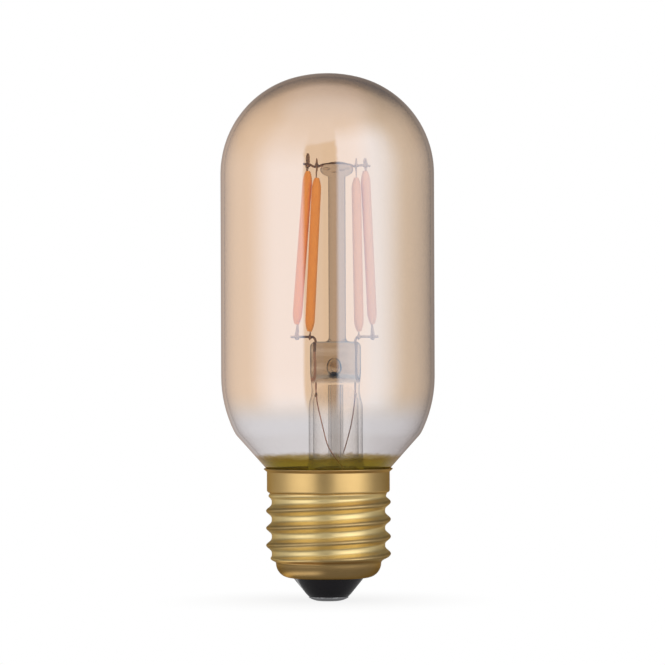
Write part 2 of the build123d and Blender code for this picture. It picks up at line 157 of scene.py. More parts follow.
class BulbStemSettings(bpy.types.PropertyGroup):
    """The stem's flare and press, the exhaust tube and the rod."""

    axis: length("Axis", "Place of the stem across the bulb", 1.6 * MM)
    seal_top: length("Seal top", "Height of the seal at the neck", 22.4 * MM)
    tube: length("Tube", "Radius of the flare tube", 5.7 * MM)
    wall: length("Wall", "Thickness of the tube", 0.9 * MM)
    bell_curve: length("Bell curve", "Radius of the flare's curve", 14.8 * MM)
    bell_top: length("Bell top", "Height where the flare starts to open", 31.0 * MM)
    cavity_top: length("Cavity top", "Height of the tube's closed end", 45.4 * MM)
    cavity_foot: length("Cavity foot", "Height where the tube starts to be pinched", 40.6 * MM)
    ridge: length("Ridge", "Half thickness of the cavity's end", 0.08 * MM)
    waist: length("Waist", "Half width where the tube turns into the press", 5.05 * MM)
    press_half: length("Press half", "Half width of the press", 5.35 * MM)
    press_flat: length("Press flat", "Half thickness of the press", 2.2 * MM)
    press_foot: length("Press foot", "Height where the press is fully flat", 48.4 * MM)
    press_corner: length("Press corner", "Radius of the press's upper edge", 1.2 * MM)
    vent_level: length("Vent", "Height of the vent's bubble", 49.1 * MM)
    rod_axis: length("Rod axis", "Place of the rod across the bulb", 2.0 * MM)
    rod: length("Rod", "Radius of the rod", 1.8 * MM)
    bead_flat: length("Bead flat", "Half thickness of the bead", 1.5 * MM)
    bead_height: length("Bead height", "Height of the bead", 3.4 * MM)
    columns: IntProperty(name="Columns", description="Points round the glass", default=96)
    stem_shade: colour("Stem", "Clear glass of the stem", (0.98, 0.97, 0.95))
    stem_bend: number("Stem bend", "How strongly the stem bends light where it is solid", 1.5)
    pipe_shade: colour("Pipe", "Clear glass of the exhaust tube", (1.0, 0.985, 0.965))
    pipe_bend: number("Pipe bend", "How strongly the exhaust tube bends light", 1.2)
    cane_shade: colour("Cane", "Clear glass of the rod", (0.91, 0.85, 0.79))
    cane_bend: number("Cane bend", "How strongly the rod bends light", 1.3)
    murk: colour("Murk", "Bands of murky glass in the press", (0.7, 0.6, 0.45))
    # Painted shade: this dark spot stands in for the hole into the exhaust tube behind the vent
    vent_shade: colour("Vent shade", "The dark spot under the vent", (0.06, 0.05, 0.04))
    thin: colour("Thin", "What the tube's wall lets through", (0.995, 0.985, 0.972))
    thin_rim: colour("Thin rim", "What the tube's wall lets through edge on", (0.25, 0.23, 0.21))
    cast: colour("Cast", "What clear glass lets through into its shadow", (0.94, 0.94, 0.94))


class BulbWireSettings(bpy.types.PropertyGroup):
    """The welded wires of the mount."""

    bend: length("Bend", "Radius of a lead's bend", 1.3 * MM)
    slack: length("Slack", "Diameter of an outer lead", 0.25 * MM)
    weld: length("Weld", "Radius of a tab's weld", 0.42 * MM)
    seal_weld: length("Seal weld", "Radius of the weld at a seal wire's foot", 0.3 * MM)
    seal_weld_level: length("Seal weld level", "Height of the weld at a seal wire's foot", 43.4 * MM)
    nickel: colour("Nickel", "Inner leads and bridge wire", (0.36, 0.21, 0.09))
    copper: colour("Copper", "Outer leads and the wires inside the cap", (0.5, 0.24, 0.13))
    clad: colour("Clad", "Copper-clad seal wires", (0.8, 0.46, 0.27))
    tab: colour("Tab", "Filament ends", (0.4, 0.25, 0.12))
    # Painted reflection: the studio panels' veil on the glass, painted into wires and tabs out to the sides
    painted_veil: colour("Faint", "Wires and tabs out to the sides, where they are paler", (0.56, 0.45, 0.36))


class BulbFilamentSettings(bpy.types.PropertyGroup):
    """The coated strips and their end tabs."""

    coat: colour("Coat", "Silicone with phosphor", (0.87, 0.34, 0.025))
    core: colour("Core", "Paler lumps in a coat", (0.93, 0.44, 0.06))
    # Painted reflection: the right pair is painted paler for the panel's veil on the glass in front
    painted_veil_pale: colour("Pale", "The right pair's paler coat", (0.82, 0.54, 0.36))
    wide_tab: length("Wide tab", "Half width of an outer filament's tab", 0.36 * MM)
    narrow_tab: length("Narrow tab", "Half width of an inner filament's tab", 0.2 * MM)
    tab_flat: length("Tab flat", "Half thickness of a tab", 0.13 * MM)
    tab_excess: length("Tab excess", "How much longer the left outer top tab is", 1.1 * MM)


class BulbCapSettings(bpy.types.PropertyGroup):
    """The screw cap."""

    pitch: length("Pitch", "Rise of the thread in one turn", 3.629 * MM)
    major: length("Major diameter", "Across the crests", 26.3 * MM)
    minor: length("Minor diameter", "Across the roots", 23.9 * MM)
    crest: length("Crest", "Height of a crest on the -X side", 15.35 * MM)
    crest_power: number("Crest power", "Above 1, crests are narrower than roots", 1.6)
    wall: length("Sheet", "Thickness of the brass sheet", 0.3 * MM)
    run_out: length("Run-out", "Height over which the thread fades at either end", 1.25 * MM)
    bowl_top: length("Bowl top", "Height where the thread starts", 8.0 * MM)
    bowl_radius: length("Bowl radius", "Radius of the bowl under the thread", 11.1 * MM)
    bowl_corner: length("Bowl corner", "Radius of the bowl's rounded corner", 3.1 * MM)
    hole: length("Hole", "Radius of the hole for the insulator", 6.9 * MM)
    collar_foot: length("Collar foot", "Height where the thread ends", 22.8 * MM)
    collar_top: length("Collar top", "Height of the collar under its lip", 27.2 * MM)
    collar_radius: length("Collar radius", "Radius of the plain collar", 12.95 * MM)
    collar_edge: length("Collar edge", "Radius of the collar's rounded lower edge", 0.6 * MM)
    columns: IntProperty(name="Columns", description="Points round the cap", default=160)
    rows: IntProperty(name="Rows", description="Steps up the thread", default=110)
    brass: colour("Brass", "Satin brass sheet", (0.7, 0.48, 0.2))
    # Painted light: the thread's lighter brass stands in for the light that its flanks catch
    thread_painted_light: colour("Thread light", "Brighter brass where the thread is rolled", (0.96, 0.77, 0.38))
    # Patches of tarnish are the brass's own; on the bowl and on crests the browner brass is painted shade
    tarnish_and_shade: colour("Tarnish and shade", "Browner brass in patches, on the bowl and on crests", (0.4, 0.25, 0.1))
    glancing: colour("Glancing", "Tint of the brass where it is seen edge on", (0.68, 0.5, 0.3))
    cement: colour("Cement", "Cement between the cap and the glass", (0.45, 0.36, 0.14))
    insulator: colour("Insulator", "Black moulding under the shell", (0.006, 0.005, 0.007))
    contact: colour("Contact", "Grey metal of the centre contact", (0.5, 0.5, 0.52))
    cement_gap: length("Cement gap", "How far the cement stays from the glass", 0.08 * MM)


class BulbDriverSettings(bpy.types.PropertyGroup):
    """The driver inside the cap."""

    board: colour("Board", "Circuit board", (0.05, 0.14, 0.06))
    chip: colour("Chip", "Black housing of the rectifier and the chip", (0.012, 0.012, 0.012))
    can: colour("Can", "Metal can of the capacitor", (0.55, 0.55, 0.57))
    resistor: colour("Resistor", "Lacquer of the fuse resistor", (0.1, 0.21, 0.32))


class BulbStageSettings(bpy.types.PropertyGroup):
    """Camera, light and floor."""

    eye_x: length("Eye across", "Camera's place across the bulb", 0.99 * MM)
    eye_level: length("Eye level", "Camera's height", 56.5 * MM)
    eye_distance: length("Eye distance", "Camera's distance from the bulb's axis", 825 * MM)
    eye_roll: angle("Eye roll", "Camera's lean to the right", 0.2)
    field: length("Field", "Width seen at the bulb's axis", 140.1 * MM)
    left_panel: number("Left panel", "Brightness of the soft panel on the left", 1.45)
    right_panel: number("Right panel", "Brightness of the soft panel on the right", 1.62)
    overhead: number("Overhead", "Brightness of the ceiling", 0.52)
    room: number("Room", "Brightness of the room behind the camera", 0.09)
    fill: number("Fill", "Even light added on matt surfaces", 0.35)
    shadow: number("Shadow", "Strength of the shadow that the camera sees on the floor", 0.15)
    floor_far: number("Floor away", "Brightness of the floor round the bulb, as metal mirrors it", 0.6)
    # Painted shadow under the bulb, which only metal mirrors
    floor_painted_shadow: number("Floor beneath", "Brightness of the floor under the bulb, as metal mirrors it", 0.3)
    # Painted pool of light, which the bowl mirrors as a highlight
    floor_painted_spot: number("Floor spot", "Brightness of the floor's bright spot, as metal mirrors it", 1.3)


class Value:
    """What a node gives. Arithmetic on a number that varies over a surface adds Math nodes."""

    def __init__(self, finish, socket):
        self.finish = finish
        self.socket = socket

    def maths(self, operation, *terms):
        return self.finish.node("Math", {"operation": operation}, dict(enumerate(terms)))

    def __add__(self, other):
        return self.maths("ADD", self, other)

    def __sub__(self, other):
        return self.maths("SUBTRACT", self, other)

    def __rsub__(self, other):
        return self.maths("SUBTRACT", other, self)

    def __mul__(self, other):
        return self.maths("MULTIPLY", self, other)

    def __pow__(self, power):
        return self.maths("POWER", self, power)

    __radd__ = __add__
    __rmul__ = __mul__


class Finish:
    """A material, or the world, and the nodes that make it up."""

    def __init__(self, owner):
        owner.use_nodes = True
        self.owner = owner
        self.tree = owner.node_tree
        self.tree.nodes.clear()

    def node(self, kind, settings=None, sockets=None, output=0):
        """Adds a node with its settings and then its sockets, and gives back one of its outputs."""
        made = self.tree.nodes.new("ShaderNode" + kind)
        for name, setting in (settings or {}).items():
            setattr(made, name, setting)
        for name, value in (sockets or {}).items():
            if isinstance(value, Value):
                self.tree.links.new(value.socket, made.inputs[name])
            else:
                made.inputs[name].default_value = value
        return Value(self, made.outputs[output]) if made.outputs else made

    def vector(self, operation, *terms):
        """Vector maths, which gives a number for a length or a dot product and a vector otherwise."""
        output = "Value" if operation in ("LENGTH", "DOT_PRODUCT") else "Vector"
        return self.node("VectorMath", {"operation": operation}, dict(enumerate(terms)), output)

    def place(self):
        return self.node("TexCoord", output="Object")

    def along(self, axis, vector=None):
        """One part of a vector, or of the place in the bulb's frame."""
        return self.node("SeparateXYZ", None, {0: vector or self.place()}, axis)

    def facing(self):
        """From 0 where a surface is seen square on to 1 where it is seen edge on."""
        return self.node("LayerWeight", None, {"Blend": 0.5}, "Facing")

    def ray(self, kind):
        return self.node("LightPath", None, None, f"Is {kind} Ray")

    def between(self, value, low, high):
        """From 0 at low to 1 at high, eased at both ends."""
        settings = {"interpolation_type": "SMOOTHSTEP"}
        return self.node("MapRange", settings, {"Value": value, "From Min": low, "From Max": high})

    def grain(self, size, detail=3.0, stretch=(1.0, 1.0, 1.0)):
        """Noise of about a given size, from 0 to 1, drawn out by stretch."""
        scale = tuple(1.0 / part for part in stretch)
        where = self.node("Mapping", None, {"Vector": self.place(), "Scale": scale})
        return self.node("TexNoise", None, {"Vector": where, "Scale": 1.0 / size, "Detail": detail}, "Fac")

    def blend(self, share, first, second):
        """One colour into another. Each may be a plain colour or another blend."""
        first, second = (part if isinstance(part, Value) else (*part, 1.0) for part in (first, second))
        return self.node("Mix", {"data_type": "RGBA"}, {"Factor": share, 6: first, 7: second}, output=2)

    def bump(self, height, depth):
        return self.node("Bump", None, {"Height": height, "Distance": depth, "Strength": 1.0})

    def see_through(self, shade):
        return self.node("BsdfTransparent", None, {"Color": (*shade, 1.0)})

    def mirror(self, shade, rough):
        return self.node("BsdfGlossy", None, {"Color": (*shade, 1.0), "Roughness": rough})

    def glow(self, strength):
        return self.node("Emission", None, {"Color": (*WHITE, 1.0), "Strength": strength})

    def mix(self, share, first, second):
        return self.node("MixShader", None, {0: share, 1: first, 2: second})

    def surface(self, shader):
        """Ends the material with a shader, and gives the material back."""
        self.node("OutputMaterial", None, {"Surface": shader})
        return self.owner

    def principled(self, sockets):
        return self.node("BsdfPrincipled", None, sockets)

    def matter(self, sockets):
        """The material of one principled shader."""
        return self.surface(self.principled(sockets))


def material(name):
    return Finish(bpy.data.materials.new(name))


def neck_stain(finish, look):
    """The neck's stained glass, and the share of the wall that it covers, ragged along its upper edge."""
    ragged = finish.along("Z") + finish.grain(1.2 * MM) * MM
    stain = finish.between(ragged, look.olive_level + MM, look.olive_level)
    burnt = finish.between(ragged, look.olive_level - 1.2 * MM, look.olive_level + 0.4 * MM)
    olive = finish.mix(burnt, finish.see_through(look.olive), finish.see_through(look.burnt))
    cloud = finish.node("BsdfDiffuse", None, {"Color": (*look.cloud, 1.0)})
    return finish.mix(0.3, olive, cloud), stain


def rim_share(finish, look, coat, right, stain):
    """How far the wall darkens where it is seen edge on, which is more on the right and at the crown."""
    level = finish.along("Z")
    facing = finish.facing()
    half = finish.between(finish.along("X"), -8 * MM, 12 * MM)
    edge_on = facing ** 4.5 * (1.0 - half) + facing ** 2.6 * half
    crown = finish.between(facing, 0.5, 0.64) * finish.between(facing, 0.86, 0.7)
    crown = crown * finish.between(level, look.crown_level - 4 * MM, look.crown_level)
    thick = finish.between(level, look.crown_level - 9 * MM, look.crown_level + 3 * MM)
    edge_on = edge_on + 0.2 * crown + 0.18 * thick + 0.07 * right * (1.0 - coat)
    depth = (0.7 + 0.2 * coat) * (1.0 - 0.7 * stain)
    return edge_on * depth


def outside_share(finish):
    """1 on the faces that point away from the bulb's middle and 0 on those that point towards it."""
    middle = (0.0, 0.0, -(cad_box[0][2] + cad_box[1][2]) / 2)
    outward = finish.vector("ADD", finish.place(), middle)
    normal = finish.node("TexCoord", output="Normal")
    return finish.between(finish.vector("DOT_PRODUCT", outward, normal), -0.1 * MM, 0.1 * MM)


def amber_glass(look):
    """Thin tinted glass: light is filtered once in each wall, and the outside mirrors the studio."""
    finish = material("amber_glass")
    facing = finish.facing()
    coat = finish.between(finish.along("Z"), look.tint_low, look.tint_high)
    right = finish.between(finish.along("X"), 5 * MM, 11 * MM)
    tint = finish.mix(right, finish.see_through(look.gold), finish.see_through(look.smoke))
    wall = finish.mix(coat, finish.see_through(look.bare), tint)
    stained, stain = neck_stain(finish, look)
    wall = finish.mix(stain, wall, stained)
    wall = finish.mix(rim_share(finish, look, coat, right, stain), wall, finish.see_through(look.rim))
    outside = outside_share(finish)
    square = (look.bare_shine + coat * (look.tint_shine - look.bare_shine)) * (1.0 - 0.8 * stain)
    wall = finish.mix(square * outside, wall, finish.mirror(look.shine, look.mirror_blur))
    wall = finish.mix(facing ** 5 * outside, wall, finish.mirror(look.edge_shine, look.mirror_blur))
    behind = finish.node("NewGeometry", None, None, "Backfacing")
    outer = behind.maths("ABSOLUTE", behind - outside)
    inner = finish.mix(facing ** 7 * 0.4, finish.see_through(WHITE), finish.see_through(look.rim))
    wall = finish.mix(outer, inner, wall)
    return finish.surface(finish.mix(finish.ray("Shadow"), wall, finish.see_through(WHITE)))


def murk_and_painted_light_share(finish, stem, press, streaks):
    """How murky the glass is: in bands in the press and along its upper edge, and less on the right, where
    the lighter glass is painted light for the brighter panel on that side.
    """
    level = finish.along("Z")
    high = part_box("stem_glass")[1].z
    brow = finish.between(level, high - 2.0 * MM, high - 0.8 * MM)
    brow = brow * finish.between(level, high, high - 0.1 * MM)
    # Less murk on the right is painted light, for the brighter panel on that side
    left = 1.0 - 0.6 * finish.between(finish.along("X"), stem.axis, stem.axis + 3 * MM)
    return (press * finish.between(streaks, 0.25, 0.75) * 1.3 + brow * 0.8) * left


def vent_shade_share(finish, stem):
    """A flat dark spot at the vent's lower end, painted shade for the dark hole into the exhaust tube."""
    mouth = (stem.axis - 0.4 * MM, 0.0, stem.vent_level - 1.7 * MM)
    offset = finish.vector("SUBTRACT", finish.place(), mouth)
    distance = finish.vector("LENGTH", finish.vector("MULTIPLY", offset, (0.4, 0.0, 1.0)))
    return finish.between(distance, 0.6 * MM, 0.35 * MM)


def thin_wall(finish, stem):
    """Glass too thin to bend light, darker and shinier where it is seen edge on."""
    facing = finish.facing()
    wall = finish.mix(facing ** 3 * 0.55, finish.see_through(stem.thin), finish.see_through(stem.thin_rim))
    return finish.mix(0.03 + 0.3 * facing ** 5, wall, finish.mirror(WHITE, 0.05))


def clear_glass(name, stem, shade, bend, thin_top=0.0):
    """Solid glass that bends light, murky in the press. From the bell up to thin_top it is a thin wall."""
    finish = material(name)
    level = finish.along("Z")
    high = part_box("stem_glass")[1].z
    press = finish.between(level, stem.cavity_top - 0.5 * MM, stem.cavity_top + 1.5 * MM)
    press = press * finish.between(level, high, high - 4.6 * MM)
    streaks = finish.grain(1.3 * MM, 3.0, (3.5, 3.5, 1.0))
    murky = finish.blend(murk_and_painted_light_share(finish, stem, press, streaks), shade, stem.murk)
    body = finish.principled(
        {
            # Painted shade at the vent's hole darkens the base colour
            "Base Color": finish.blend(vent_shade_share(finish, stem), murky, stem.vent_shade),
            "Roughness": 0.02,
            "IOR": bend,
            "Transmission Weight": 1.0,
            "Normal": finish.bump(finish.grain(2.5 * MM, 2.0) + press * streaks * 5.0, 0.03 * MM),
        },
    )
    bell = finish.between(level, stem.bell_top, stem.bell_top - 2 * MM)
    solid = bell.maths("MAXIMUM", bell, finish.between(level, thin_top, thin_top + MM))
    body = finish.mix(solid, thin_wall(finish, stem), body)
    return finish.surface(finish.mix(finish.ray("Shadow"), body, finish.see_through(stem.cast)))


def drawn_metal(name, shade, rough, painted_veil=None):
    """Wire or strip with fine drawing marks and some stain. With painted_veil, it is painted paler towards
    both sides, a painted reflection of the studio panels in the glass.
    """
    finish = material(name)
    stain = finish.grain(0.6 * MM)
    marks = finish.grain(0.05 * MM, 2.0, (1.0, 1.0, 8.0))
    darker = tuple(0.55 * part for part in shade)
    tone, metal = finish.blend(stain, darker, shade), 1.0
    if painted_veil is not None:
        # Painted reflection: paler where a panel's veil on the glass lies in front, on the right and far
        # left
        across = finish.along("X")
        painted_veil_pale = finish.between(across, 0.0, 4 * MM) + finish.between(across, -4.8 * MM, -6.4 * MM)
        tone, metal = finish.blend(painted_veil_pale, tone, painted_veil), 1.0 - 0.8 * painted_veil_pale
    return finish.matter(
        {
            "Base Color": tone,
            "Metallic": metal,
            "Roughness": rough + 0.2 * marks,
            "Normal": finish.bump(marks, 0.01 * MM),
        }
    )


def phosphor_coat(look):
    """Soft silicone loaded with phosphor, a little uneven, and painted paler on the right pair, a painted
    reflection of the studio panel in the glass.
    """
    finish = material("phosphor_coat")
    lumps = finish.grain(1.6 * MM, 2.0)
    grains = finish.grain(0.12 * MM, 2.0)
    orange = finish.blend(lumps * 0.7 + grains * 0.3, look.coat, look.core)
    # Paler on the right: a painted reflection of the studio panel in the glass in front
    right = finish.between(finish.along("X"), 0.0, 4 * MM)
    return finish.matter(
        {
            "Base Color": finish.blend(right, orange, look.painted_veil_pale),
            "Roughness": 0.45 + 0.2 * grains,
            "Specular IOR Level": 0.3,
            "Normal": finish.bump(lumps + 0.2 * grains, 0.08 * MM),
        }
    )


def cap_brass(look):
    """Satin sheet: brighter where the thread is rolled, which is painted light for the thread's bright
    flanks; browner in patches, and browner on the bowl and on crests as painted shade.
    """
    finish = material("cap_brass")
    level = finish.along("Z")
    patches = finish.grain(3.0 * MM)
    turning = finish.grain(0.12 * MM, 3.0, (30.0, 30.0, 1.0))
    rolled = finish.between(level, look.bowl_top, look.bowl_top + 1.5 * MM)
    rolled = rolled * finish.between(level, look.collar_foot + 0.3 * MM, look.collar_foot - 0.7 * MM)
    # Painted shade on the bowl, which faces down
    bowl = finish.between(level, look.bowl_top + MM, look.bowl_top - 0.5 * MM)
    shade = finish.blend(rolled, look.brass, look.thread_painted_light)
    radius = finish.vector("LENGTH", finish.vector("MULTIPLY", finish.place(), (1.0, 1.0, 0.0)))
    # Painted shade on the crests
    crest = finish.between(radius, look.major / 2 - 0.5 * MM, look.major / 2 - 0.1 * MM) * rolled
    return finish.matter(
        {
            "Base Color": finish.blend(patches * 0.3 + bowl * 0.6 + crest * 0.55, shade, look.tarnish_and_shade),
            "Metallic": 1.0,
            "Specular Tint": (*look.glancing, 1.0),
            "Roughness": 0.3 + 0.02 * rolled + 0.12 * turning,
            "Normal": finish.bump(turning, 0.0015 * MM),
        }
    )


def moulded(name, shade, rough, gloss=0.5):
    """Matt or glossy moulding with a faint grain."""
    finish = material(name)
    grain = finish.grain(0.3 * MM)
    lighter = tuple(min(1.0, 1.35 * part + 0.002) for part in shade)
    return finish.matter(
        {
            "Base Color": finish.blend(grain, shade, lighter),
            "Roughness": rough + 0.15 * grain,
            "Specular IOR Level": gloss,
            "Normal": finish.bump(grain, 0.01 * MM),
        }
    )


def dress(shade, *nodes):
    """Gives CAD nodes a finish."""
    for node in nodes:
        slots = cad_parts[node].data.materials
        slots.clear()
        slots.append(shade)


def add_piece(name, mesh, shade, slot, *nodes):
    """Puts a mesh in the scene as a piece of the bulb that stands for some CAD nodes."""
    piece = bpy.data.objects.new(name, mesh)
    bpy.context.scene.collection.objects.link(piece)
    mesh.materials.append(shade)
    mesh.shade_smooth()
    mesh.set_sharp_from_angle(angle=SHARP_ANGLE)
    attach(piece, "root")
    if nodes:
        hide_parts(*nodes)


def ring(level, radius, columns, throw=0.0, turn=0.0, power=1.0):
    """A level loop about the bulb's axis that swells by throw towards turn."""
    loop = []
    for column in range(columns):
        bearing = math.tau * column / columns
        swell = 2.0 * (0.5 + 0.5 * math.cos(bearing - turn)) ** power - 1.0
        reach = radius + throw * swell
        loop.append(Vector((reach * math.cos(bearing), reach * math.sin(bearing), level)))
    return loop


def oval(centre, half_x, half_y, columns, power=2.0):
    """A level loop from an ellipse, at power 2, towards a rectangle, at higher ones."""
    loop = []
    for column in range(columns):
        bearing = math.tau * column / columns
        across, along = math.cos(bearing), math.sin(bearing)
        x = half_x * math.copysign(abs(across) ** (2.0 / power), across)
        y = half_y * math.copysign(abs(along) ** (2.0 / power), along)
        loop.append(Vector(centre) + Vector((x, y, 0.0)))
    return loop


def ripple(loop, share=1.0):
    """Moves a loop's front and back in and out by a share of the full depth."""
    for point in loop:
        point.y += RIPPLE_DEPTH * share * noise.noise(point / RIPPLE_SIZE) * math.copysign(1.0, point.y)
    return loop


def bubble(centre, half_x, half_y, half_z, columns):
    """Loops of an egg of air inside glass, from its top down."""
    loops = []
    for turn in steps(0.0, math.pi, 12)[1:-1]:
        middle = Vector(centre) + Vector((0.0, 0.0, half_z * math.cos(turn)))
        loops.append(oval(middle, half_x * math.sin(turn), half_y * math.sin(turn), columns))
    return loops


def skin(name, *shells, wrap=False, capped=False):
    """A mesh through shells of loops. A shell's last loop joins its first, or both ends are capped."""
    points, faces = [], []
    for rings in shells:
        first, columns = len(points), len(rings[0])
        points += [point for loop in rings for point in loop]
        for row in range(len(rings) if wrap else len(rings) - 1):
            here = first + row * columns
            after = first + (row + 1) % len(rings) * columns
            for column in range(columns):
                beside = (column + 1) % columns
                faces.append((here + column, here + beside, after + beside, after + column))
        if capped:
            faces.append(tuple(reversed(range(first, first + columns))))
            faces.append(tuple(range(len(points) - columns, len(points))))
    mesh = bpy.data.meshes.new(name)
    mesh.from_pydata(points, [], faces)
    mesh.update()
    return mesh


def arc(centre, radius, start, end, count):
    """Points of (radius, height) along an arc, by angles in degrees from the horizontal."""
    turns = [math.radians(turn) for turn in steps(start, end, count)]
    return [(centre[0] + radius * math.cos(turn), centre[1] + radius * math.sin(turn)) for turn in turns]


def wire_mesh(name, path, diameter):
    """A round wire along a smooth curve that the points pull on."""
    curve = bpy.data.curves.new(name, "CURVE")
    curve.dimensions = "3D"
    curve.bevel_depth = diameter / 2
    curve.bevel_resolution = 3
    curve.use_fill_caps = True
    spline = curve.splines.new("NURBS")
    spline.points.add(len(path) - 1)
    for point, place in zip(spline.points, path):
        point.co = (*place, 1.0)
    spline.order_u = 3
    spline.use_endpoint_u = True
    spline.resolution_u = 6
    carrier = bpy.data.objects.new(name, curve)
    mesh = bpy.data.meshes.new_from_object(carrier)
    bpy.data.objects.remove(carrier)
    mesh.name = name
    return mesh


def smooth_step(value):
    """From 0 to 1 as the value goes from 0 to 1, eased at both ends."""
    value = min(max(value, 0.0), 1.0)
    return value * value * (3.0 - 2.0 * value)


def steps(start, end, count):
    """Evenly spaced values from start to end, both included."""
    return [start + (end - start) * step / count for step in range(count + 1)]


def tube_ring(stem, level, inset):
    """A loop of the stem's tube, which opens like a bell below a level. An inset gives its inside."""
    drop = max(0.0, stem.bell_top - level)
    radius = stem.tube + stem.bell_curve - math.sqrt((stem.bell_curve + inset) ** 2 - drop**2)
    return oval((stem.axis, 0, level), radius, radius, stem.columns)


def cavity_rings(stem, bottom):
    """The inside of the flare, from its pinched end down."""
    inner = stem.tube - stem.wall
    rings = []
    for level in steps(stem.cavity_top, stem.cavity_foot, 16):
        open_share = (stem.cavity_top - level) / (stem.cavity_top - stem.cavity_foot)
        half_x = inner * (0.5 + 0.5 * math.sqrt(min(1.0, 1.5 * open_share)))
        half_y = stem.ridge + (inner - stem.ridge) * smooth_step(open_share)
        rings.append(oval((stem.axis, 0, level), half_x, half_y, stem.columns))
    return rings + [tube_ring(stem, level, stem.wall) for level in steps(stem.bell_top, bottom, 14)]


def press_rings(stem, top):
    """The outside of the tube where it is squeezed flat, and the press with its rounded upper edge."""
    rings = []
    for level in steps(stem.cavity_foot, stem.press_foot, 24):
        share = (level - stem.cavity_foot) / (stem.press_foot - stem.cavity_foot)
        flat = smooth_step(share)
        half_x = stem.tube + (stem.press_half - stem.tube) * flat
        half_x += (stem.waist - half_x) * math.sin(math.pi * share) ** 2
        half_y = stem.tube + (stem.press_flat - stem.tube) * flat
        loop = oval((stem.axis, 0, level), half_x, half_y, stem.columns, 2 + (PRESS_POWER - 2) * flat)
        rings.append(ripple(loop, flat))
    corner = stem.press_corner
    for level in steps(stem.press_foot, top - corner, 10)[1:-1]:
        loop = oval((stem.axis, 0, level), stem.press_half, stem.press_flat, stem.columns, PRESS_POWER)
        rings.append(ripple(loop))
    for turn in steps(0, 80, 8):
        lift, out = math.sin(math.radians(turn)), math.cos(math.radians(turn))
        inset = corner * (1 - out)
        centre = (stem.axis, 0, top + corner * (lift - 1))
        half_x, half_y = stem.press_half - inset, stem.press_flat - inset
        rings.append(ripple(oval(centre, half_x, half_y, stem.columns, PRESS_POWER), out))
    return rings


def stem_rings(stem):
    """The flare and press as loops: down inside the tube, then up its outside and over the press."""
    low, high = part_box("stem_glass")
    joint = stem.seal_top - 0.06 * MM
    rings = cavity_rings(stem, low.z)
    rings += [oval((0, 0, level), high.y, high.y, stem.columns) for level in (low.z, joint)]
    rings += [tube_ring(stem, level, 0) for level in steps(stem.seal_top, stem.bell_top, 14)]
    return rings + press_rings(stem, high.z)


def vent_shells(stem):
    """The vent's bubble of air, and inside it a drop of glass, whose faces point the other way."""
    depth = -0.6 * MM
    vent_centre = (stem.axis - 0.3 * MM, depth, stem.vent_level)
    vent = bubble(vent_centre, half_x=1.6 * MM, half_y=0.6 * MM, half_z=2.1 * MM, columns=40)
    drop_centre = (stem.axis - 0.15 * MM, depth, stem.vent_level + 0.3 * MM)
    drop = bubble(drop_centre, half_x=1.0 * MM, half_y=0.35 * MM, half_z=1.3 * MM, columns=40)
    return vent, drop[::-1]


def exhaust_rings(stem):
    """The thin pipe from its drawn tip up to the pinch, then down its bore."""
    low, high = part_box("exhaust_tube")
    outer = (high.x - low.x) / 2
    bore, tip, top = 0.6 * outer, 1.6 * MM, stem.cavity_top + 0.1 * MM
    outline = [(0.05 * outer, low.z)]
    outline += [(outer * share**0.6, low.z + tip * share) for share in steps(0.2, 1, 6)]
    outline += [(outer, level) for level in steps(low.z + tip, top, 20)[1:]]
    outline += [(bore, level) for level in steps(top, low.z + tip, 20)]
    outline.append((0.05 * outer, low.z + 0.7 * tip))
    return [oval((stem.axis, 0, level), radius, radius, 48) for radius, level in outline]


def rod_rings(stem):
    """The rod and its squeezed bead as loops from the press up."""
    low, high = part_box("support_rod")
    half_x = (high.x - low.x) / 2
    half_z = stem.bead_height / 2
    middle = high.z - half_z
    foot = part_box("stem_glass")[1].z - 0.02 * MM
    rings = []
    for share in steps(0, 1, 8)[:-1]:
        swell = 1 - math.sqrt(1 - (1 - share) ** 2)
        centre = (stem.rod_axis, 0, foot + share * MM)
        rings.append(oval(centre, stem.rod + 0.8 * MM * swell, stem.rod + 0.2 * MM * swell, stem.columns))
    for level in steps(foot + MM, middle - half_z, 12):
        rings.append(oval((stem.rod_axis, 0, level), stem.rod, stem.rod, stem.columns))
    # The bead starts this many degrees below its middle
    under = 58
    for turn in steps(-under, 88, 22):
        lift, out = math.sin(math.radians(turn)), math.cos(math.radians(turn))
        thick = stem.rod + (stem.bead_flat - stem.rod) * smooth_step((turn + under) / under)
        half_y = thick * (math.sqrt(out) if turn > 0 else 1.0)
        rings.append(oval((stem.rod_axis, 0, middle + half_z * lift), half_x * out, half_y, stem.columns))
    return rings


def bead_bubbles(stem):
    """Small bubbles of air drawn out in the bead."""
    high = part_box("support_rod")[1]
    level = high.z - stem.bead_height / 2
    shells = []
    for x, z, half in ((-2.1, 0.15, 0.75), (-0.55, -0.55, 0.5), (1.1, -0.1, 0.6), (2.2, 0.2, 0.45)):
        centre = (stem.rod_axis + x * MM, -0.3 * MM, level + z * MM)
        shells.append(bubble(centre, half * MM, 0.45 * half * MM, 0.4 * half * MM, 20))
    return shells


def thread_rings(cap):
    """The rolled thread as loops, from the bowl up to the collar, fading at both ends."""
    mean, throw = (cap.major + cap.minor) / 4, (cap.major - cap.minor) / 4
    foot = cap.collar_radius - cap.collar_edge
    rings = []
    for level in steps(cap.bowl_top, cap.collar_foot, cap.rows)[1:-1]:
        rise = smooth_step((level - cap.bowl_top) / cap.run_out)
        fall = smooth_step((cap.collar_foot - level) / cap.run_out)
        radius = cap.bowl_radius + (mean - cap.bowl_radius) * rise
        radius = foot + (radius - foot) * fall
        turn = math.pi + math.tau * (level - cap.crest) / cap.pitch
        rings.append(ring(level, radius, cap.columns, throw * rise * fall, turn, cap.crest_power))
    return rings


